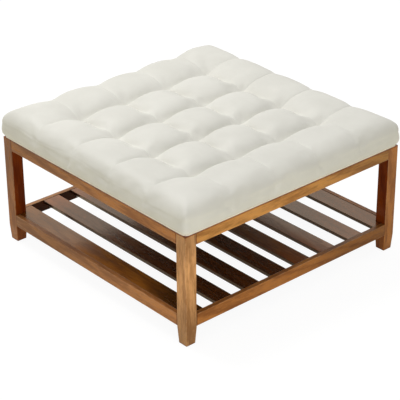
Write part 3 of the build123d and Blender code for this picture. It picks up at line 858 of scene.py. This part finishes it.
# Dust cloth: black non-woven cloth, cut square and stapled tight under the deck, over the cover's
# flange, so that nothing inside shows from below.
cloth_low, cloth_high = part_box("dust_cloth")
cloth_side = cloth_high[X] - cloth_low[X]
cloth_thickness = 0.0004
sag, sag_ripple = 0.0030, 0.0008
clear_selection()
bpy.ops.mesh.primitive_grid_add(
    x_subdivisions=40, y_subdivisions=40, size=cloth_side, location=(0, 0, cloth_high[Z] - 0.0001)
)
lining = bpy.context.object
lining_mesh = finish_mesh(lining, "dust_cloth_lining")
spread = points_of(lining_mesh)
x, y = spread[:, X], spread[:, Y]
inside = np.minimum(1 - (2 * x / cloth_side) ** 2, 1 - (2 * y / cloth_side) ** 2)
ripples = np.sin(9 * x + 4 * y) * np.sin(7 * y - 3 * x)
spread[:, Z] -= np.clip(inside, 0, 1) ** 0.5 * (sag + sag_ripple * ripples)
set_points(lining_mesh, spread)
apply_modifier(lining, "SOLIDIFY", thickness=cloth_thickness, offset=0)
bpy.ops.object.shade_smooth()
nonwoven, tree, surface, place = new_material("black non-woven cloth")
dimples = put(tree, "TexVoronoi", {"Vector": place, "Scale": 420}).outputs["Distance"]
fibres = noise(tree, place, 700, 4, 0.7)
shade = tint(tree, fibres, colour(0.012, 0.012, 0.013), colour(0.040, 0.040, 0.042))
show(tree, surface, shade, 0.9, dimples, 0.5, 0.0004)
lining.data.materials.append(nonwoven)
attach(lining, "root")
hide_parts("dust_cloth")
dress("dust_cloth_staples", metal("galvanised wire", (0.62, 0.62, 0.63), 0.30))

# Foot glides: round pads of off-white nylon, each nailed into the end of a leg, so that the table
# slides on a floor without a scratch.
nylon, tree, surface, place = new_material("off-white nylon")
scuffed = noise(tree, place, 300, 4, 0.6)
clean, soiled = colour(0.66, 0.64, 0.58), colour(0.50, 0.48, 0.43)
shade = tint(tree, ease(tree, scuffed, 0.4, 0.75), clean, soiled)
show(tree, surface, shade, calc(tree, "MULTIPLY_ADD", scuffed, 0.3, 0.3))
dress("foot_glides", nylon)

# Floor and light: a plain white studio with one large soft lamp high on the left, a weaker one
# low on the right, and a white surround that the camera and the lacquer see.
clear_selection()
bpy.ops.mesh.primitive_plane_add(size=60)
floor = bpy.context.object
floor.name = floor.data.name = "studio_floor"
paper = bpy.data.materials.new("studio paper")
paper.use_nodes = True
tree = paper.node_tree
tree.nodes.remove(tree.nodes["Principled BSDF"])
rays = put(tree, "LightPath").outputs
seen = calc(tree, "MAXIMUM", rays["Is Camera Ray"], rays["Is Transmission Ray"])
shown = put(tree, "Emission", {"Color": colour(1, 1, 1), "Strength": 0.93}).outputs[0]
lit = put(tree, "BsdfDiffuse", {"Color": colour(0.12, 0.12, 0.12)}).outputs[0]
seen_paper = put(tree, "AddShader", {0: shown, 1: lit}).outputs[0]
glow = put(tree, "Emission", {"Color": colour(1, 1, 1), "Strength": 0.25}).outputs[0]
bounced = put(tree, "BsdfDiffuse", {"Color": colour(0.92, 0.88, 0.72)}).outputs[0]
mirrored = put(tree, "AddShader", {0: glow, 1: bounced}).outputs[0]
other = put(tree, "MixShader", {0: rays["Is Glossy Ray"], 1: bounced, 2: mirrored}).outputs[0]
final = put(tree, "MixShader", {0: seen, 1: other, 2: seen_paper}).outputs[0]
tree.links.new(final, tree.nodes["Material Output"].inputs["Surface"])
floor.data.materials.append(paper)

world = bpy.data.worlds.new("white studio")
bpy.context.scene.world = world
world.use_nodes = True
tree = world.node_tree
backdrop = tree.nodes["Background"]
backdrop.inputs["Color"].default_value = colour(1, 1, 1)
backdrop.inputs["Strength"].default_value = 1.0
rays = put(tree, "LightPath").outputs
shown = calc(tree, "MAXIMUM", rays["Is Camera Ray"], rays["Is Glossy Ray"])
shown = calc(tree, "MAXIMUM", shown, rays["Is Transmission Ray"])
upwards = put(tree, "SeparateXYZ", {0: put(tree, "TexCoord").outputs["Generated"]}).outputs[Z]
level = ease(tree, upwards, 0.25, 0.95, 0.17, 0.70)
soft = put(tree, "Background", {"Color": colour(1, 1, 1), "Strength": level}).outputs[0]
both = put(tree, "MixShader", {0: shown, 1: soft, 2: backdrop.outputs[0]}).outputs[0]
tree.links.new(both, tree.nodes["World Output"].inputs["Surface"])


def lamp(name, place, side, watts, tone):
    """A square lamp that shines at the table."""
    bpy.ops.object.light_add(type="AREA", location=place)
    made = bpy.context.object
    made.name = name
    made.data.shape = "SQUARE"
    made.data.size = side
    made.data.energy = watts
    made.data.color = tone
    aim = Vector((0, 0, 0.3)) - Vector(place)
    made.rotation_euler = aim.to_track_quat("-Z", "Y").to_euler()


warm_white = (1.0, 0.99, 0.97)
lamp("key_lamp", (-1.63, -0.44, 4.00), 1.6, 87, warm_white)
lamp("fill_lamp", (3.2, -1.5, 0.42), 1.1, 30, warm_white)

# Camera: a long lens in front of the front right corner, as for the photograph. It is turned 49
# degrees round the table and looks 28 down.
camera_turn, camera_dip, camera_roll = 48.775, 28.067, -0.372
bpy.ops.object.camera_add()
camera = bpy.context.object
camera.name = "studio_camera"
camera.matrix_world = (
    Matrix.Translation((3.4259, -3.0004, 2.5892))
    @ Matrix.Rotation(math.radians(camera_turn), 4, "Z")
    @ Matrix.Rotation(math.radians(90 - camera_dip), 4, "X")
    @ Matrix.Rotation(math.radians(camera_roll), 4, "Z")
)
camera.data.sensor_width = 36
camera.data.lens = 141.58
camera.data.clip_end = 100
bpy.context.scene.camera = camera
bpy.context.scene.view_settings.view_transform = "Standard"
